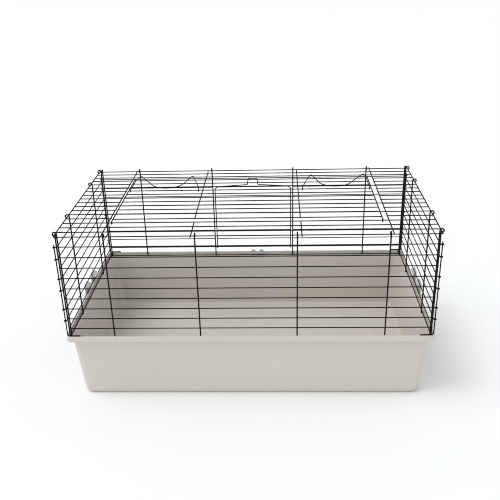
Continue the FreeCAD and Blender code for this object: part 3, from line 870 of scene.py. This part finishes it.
def united(name, pieces):
    """One closed skin from overlapping closed pieces."""
    base = pieces[0]
    for other in pieces[1:]:
        modifier = base.modifiers.new("join", "BOOLEAN")
        modifier.operation = "UNION"
        modifier.solver = "EXACT"
        modifier.object = other
        bpy.context.view_layer.update()
        graph = bpy.context.evaluated_depsgraph_get()
        mesh = bpy.data.meshes.new_from_object(base.evaluated_get(graph))
        base.modifiers.clear()
        base.data = mesh
        bpy.data.objects.remove(other)
    base.name = name
    base.data.shade_smooth()
    base.data.set_sharp_from_angle(angle=math.radians(MOULDING_CREASE))
    return base


def tray_clip(side):
    """The two-pronged clip: barrel, forked plate, hooked noses and grip ridges."""
    pivot_x, pivot_z = CLIP_PIVOT
    low_y = CLIP_Y - CLIP_HALF
    high_y = CLIP_Y + CLIP_HALF
    plate_in = pivot_x - CLIP_PLATE / 2
    ridge_x = plate_in + CLIP_PLATE - CLIP_RIDGE_SINK
    plate_z = pivot_z + CLIP_PLATE_RISE
    web_z = pivot_z + CLIP_WEB_RISE
    fork = [
        (low_y, plate_z),
        (high_y, plate_z),
        (high_y, CLIP_TOP_Z),
        (high_y - CLIP_PRONG, CLIP_TOP_Z),
        (high_y - CLIP_PRONG, web_z),
        (low_y + CLIP_PRONG, web_z),
        (low_y + CLIP_PRONG, CLIP_TOP_Z),
        (low_y, CLIP_TOP_Z),
    ]
    shape = fillet_2d(fork, [0, 0, 5, 5, 6, 6, 5, 5])

    def on_plate(u, v, depth):
        return (side * (plate_in + depth) * MM, u * MM, v * MM)

    pieces = [prism("fork", shape, CLIP_PLATE, on_plate, 0.6)]
    edge = 0.4
    length = 2 * CLIP_HALF
    barrel = [(CLIP_BORE_R, 0.0), (CLIP_BARREL_R - edge, 0.0), (CLIP_BARREL_R, edge)]
    barrel += [(CLIP_BARREL_R, length - edge), (CLIP_BARREL_R - edge, length)]
    barrel += [(CLIP_BORE_R, length)]
    at = vec(side * pivot_x, low_y, pivot_z)
    pieces.append(lathe("barrel", barrel, at, vec(0, 1, 0)))
    nose = [
        (pivot_x, CLIP_NOSE_HIGH_Z + 3.5),
        (pivot_x, CLIP_NOSE_LOW_Z - 3.5),
        (plate_in, CLIP_NOSE_LOW_Z - 2.5),
        (plate_in - 3.5, CLIP_NOSE_LOW_Z),
        (CLIP_NOSE_X, CLIP_NOSE_LOW_Z + 0.2),
        (CLIP_NOSE_X, CLIP_NOSE_HIGH_Z - 1.8),
        (CLIP_NOSE_X + 3.0, CLIP_NOSE_HIGH_Z - 0.2),
    ]
    nose_shape = fillet_2d(nose, [0, 0, 0.8, 1.2, 0.8, 0.8, 1.5])
    nose_width = CLIP_PRONG - 2 * CLIP_NOSE_IN
    for start in (low_y, high_y - CLIP_PRONG):

        def on_nose(u, v, depth, start=start):
            return (side * u * MM, (start + CLIP_NOSE_IN + depth) * MM, v * MM)

        pieces.append(prism("nose", nose_shape, nose_width, on_nose, 0.5))
        for level in range(CLIP_RIDGES):
            low = CLIP_TOP_Z - CLIP_RIDGE_DROP - CLIP_RIDGE_PITCH * level
            high = low + CLIP_RIDGE_HEIGHT
            near = start + CLIP_RIDGE_IN
            far = start + CLIP_PRONG - CLIP_RIDGE_IN
            bar = [(near, low), (far, low), (far, high), (near, high)]
            ridge = fillet_2d(bar, [CLIP_RIDGE_CORNER] * 4)

            def on_face(u, v, depth):
                return (side * (ridge_x + depth) * MM, u * MM, v * MM)

            pieces.append(prism("ridge", ridge, CLIP_RIDGE_DEPTH, on_face, 0.4, 2))
    return united("left_clip_moulding" if side < 0 else "right_clip_moulding", pieces)


def clip_lugs():
    """The four ears on the lip that hold the clips' pins."""
    pivot_x, pivot_z = CLIP_PIVOT
    reach = LUG_REACH
    section = [(LUG_ROOT_X, pivot_z - reach), (pivot_x, pivot_z - reach)]
    for i in range(1, 12):
        angle = math.radians(-90 + 15 * i)
        section.append((pivot_x + reach * math.cos(angle), pivot_z + reach * math.sin(angle)))
    section += [(pivot_x, pivot_z + reach), (LUG_ROOT_X, pivot_z + reach)]
    far = CLIP_HALF + LUG_GAP
    lugs = []
    for side in (-1, 1):
        for start in (CLIP_Y - far - LUG_WIDTH, CLIP_Y + far):

            def to_world(u, v, depth, start=start, side=side):
                return (side * u * MM, (start + depth) * MM, v * MM)

            lugs.append(prism("lug", section, LUG_WIDTH, to_world, 0.5))
    bpy.ops.object.select_all(action="DESELECT")
    for lug in lugs:
        lug.select_set(True)
    bpy.context.view_layer.objects.active = lugs[0]
    bpy.ops.object.join()
    lugs[0].name = "clip_lugs"
    return lugs[0]


def clip_pin(side):
    pivot_x, pivot_z = CLIP_PIVOT
    length = 2 * (CLIP_HALF + LUG_GAP + LUG_WIDTH)
    cut = 0.3
    profile = [(0.0, 0.0), (PIN_R - cut, 0.0), (PIN_R, cut), (PIN_R, length - cut)]
    profile += [(PIN_R - cut, length), (0.0, length)]
    start = vec(side * pivot_x, CLIP_Y - length / 2, pivot_z)
    name = "left_pin" if side < 0 else "right_pin"
    return lathe(name, profile, start, vec(0, 1, 0), 20)


def back_rim_clip():
    """The low block with two rounded lobes behind the doorway's mat."""
    half = BACK_CLIP_HALF
    lobe = BACK_CLIP_LOBE_R
    top = BACK_CLIP_TOP_Z
    low = BACK_CLIP_LOW_Z
    mid = 2 * lobe - half
    points = [
        (-half, LEDGE_Z),
        (half, LEDGE_Z),
        (half, top),
        (half - 2 * lobe, top),
        (half - 2 * lobe, low),
        (mid, low),
        (mid, top),
        (-half, top),
    ]
    round_top = lobe - 0.1
    shape = fillet_2d(points, [0, 0, round_top, round_top, 1.5, 1.5, round_top, round_top], 12.0)

    def to_world(u, v, depth):
        y = BACK_CLIP_Y - BACK_CLIP_THICK / 2 + depth
        return ((BACK_CLIP_X + u) * MM, y * MM, v * MM)

    return prism("rim_clip_moulding", shape, BACK_CLIP_THICK, to_world, 0.5)


# ---- build everything ----------------------------------------------------------------------
TRAY_MATERIAL = moulded_plastic("tray_plastic", TRAY_TONES, rough=0.42, grain=1500.0)
CLIP_MATERIAL = moulded_plastic("clip_plastic", CLIP_TONES, rough=0.36, grain=1900.0)
WIRE_MATERIAL = coated_wire("black_wire")
PIN_MATERIAL = drawn_steel("pin_steel")

WIRE_PIECES = {
    "front_panel": (long_panel(-1, False), "wire_top"),
    "back_panel": (long_panel(1, True), "wire_top"),
    "left_panel": (end_panel(-1), "wire_top"),
    "right_panel": (end_panel(1), "wire_top"),
    "roof_panel": (roof_panel(), "wire_top"),
    "roof_lid": (roof_lid(), "roof_lid"),
    "left_lid_latch": (lid_latch(-1), "left_latch"),
    "right_lid_latch": (lid_latch(1), "right_latch"),
    "back_door": (back_door(), "back_door"),
    "door_tab": (door_tab(), "back_door"),
    "front_left_corner_rod": (corner_rod(-1, -1), "wire_top"),
    "front_right_corner_rod": (corner_rod(1, -1), "wire_top"),
    "back_left_corner_rod": (corner_rod(-1, 1), "wire_top"),
    "back_right_corner_rod": (corner_rod(1, 1), "wire_top"),
}
for node, (work, body) in WIRE_PIECES.items():
    place(work.object(node + "_wire"), body, node, WIRE_MATERIAL)

place(tray_shell(), "tray", "tray", TRAY_MATERIAL)
place(clip_lugs(), "tray", None, TRAY_MATERIAL)
for side, word in ((-1, "left"), (1, "right")):
    clip = tray_clip(side)
    place(clip, word + "_clip", word + "_tray_clip", CLIP_MATERIAL)
    place(clip_pin(side), "tray", word + "_clip_pin", PIN_MATERIAL)
place(back_rim_clip(), "tray", "back_rim_clip", CLIP_MATERIAL)


# ---- studio --------------------------------------------------------------------------------
SKY_STRENGTH = 0.82
SKY_TINT = (0.955, 0.985, 0.990, 1.0)
KEY_STRENGTH = 1.25
KEY_SOFTNESS = 38.0
KEY_DIRECTION = (0.60, 0.12, -1.0)
FILL_PLACE = (-1.15, -1.35, 0.55)
FILL_SIZE = 0.9
FILL_POWER = 1.0
FILL_AIM = (0.0, 0.0, 0.15)
FLOOR_SIZE = 60.0
FLOOR_Z_M = -0.0002
CAMERA_PLACE = (0.08174, -1.86263, 1.18959)
CAMERA_PITCH = 24.835
CAMERA_YAW = -2.584
CAMERA_ROLL = -1.565
CAMERA_LENS = 49.784
SENSOR_WIDTH = 36.0


def studio():
    nodes = Nodes("studio_floor")
    tone = nodes.mix(nodes.noise(1.5, 2.0), *FLOOR_TONES)
    rough = nodes.spread(nodes.noise(4.0, 2.0), 0.3, 0.7, 0.75, 0.85)
    normal = nodes.bump(nodes.noise(40.0, 2.0), 0.0002, 0.1)
    material = nodes.finish(tone, rough, normal)
    bpy.ops.mesh.primitive_plane_add(size=FLOOR_SIZE, location=(0, 0, FLOOR_Z_M))
    floor = bpy.context.object
    floor.name = "studio_floor"
    floor.data.materials.append(material)
    world = bpy.data.worlds.new("studio")
    world.use_nodes = True
    background = world.node_tree.nodes["Background"]
    background.inputs["Color"].default_value = SKY_TINT
    background.inputs["Strength"].default_value = SKY_STRENGTH
    bpy.context.scene.world = world
    light = bpy.data.lights.new("key", "SUN")
    light.angle = math.radians(KEY_SOFTNESS)
    light.energy = KEY_STRENGTH
    sun = bpy.data.objects.new("key", light)
    sun.rotation_euler = Vector(KEY_DIRECTION).to_track_quat("-Z", "Y").to_euler()
    bpy.context.scene.collection.objects.link(sun)
    light = bpy.data.lights.new("fill", "AREA")
    light.shape = "SQUARE"
    light.size = FILL_SIZE
    light.energy = FILL_POWER
    fill = bpy.data.objects.new("fill", light)
    fill.location = FILL_PLACE
    aim = Vector(FILL_AIM) - fill.location
    fill.rotation_euler = aim.to_track_quat("-Z", "Y").to_euler()
    bpy.context.scene.collection.objects.link(fill)
    bpy.context.scene.view_settings.view_transform = "Standard"
    bpy.context.scene.cycles.filter_width = 1.0


def camera():
    """A camera a little above and to the right, turned slightly left and rolled."""
    pitch = math.radians(CAMERA_PITCH)
    yaw = math.radians(CAMERA_YAW)
    roll = math.radians(CAMERA_ROLL)
    flat = math.cos(pitch)
    forward = Vector((math.sin(yaw) * flat, math.cos(yaw) * flat, -math.sin(pitch)))
    level = Vector((math.cos(yaw), -math.sin(yaw), 0.0))
    up = level.cross(forward)
    right = level * math.cos(roll) + up * math.sin(roll)
    above = up * math.cos(roll) - level * math.sin(roll)
    data = bpy.data.cameras.new("camera")
    data.sensor_width = SENSOR_WIDTH
    data.lens = CAMERA_LENS
    obj = bpy.data.objects.new("camera", data)
    turn = Matrix((right, above, -forward)).transposed().to_4x4()
    obj.matrix_world = Matrix.Translation(Vector(CAMERA_PLACE)) @ turn
    bpy.context.scene.collection.objects.link(obj)
    bpy.context.scene.camera = obj


studio()
camera()
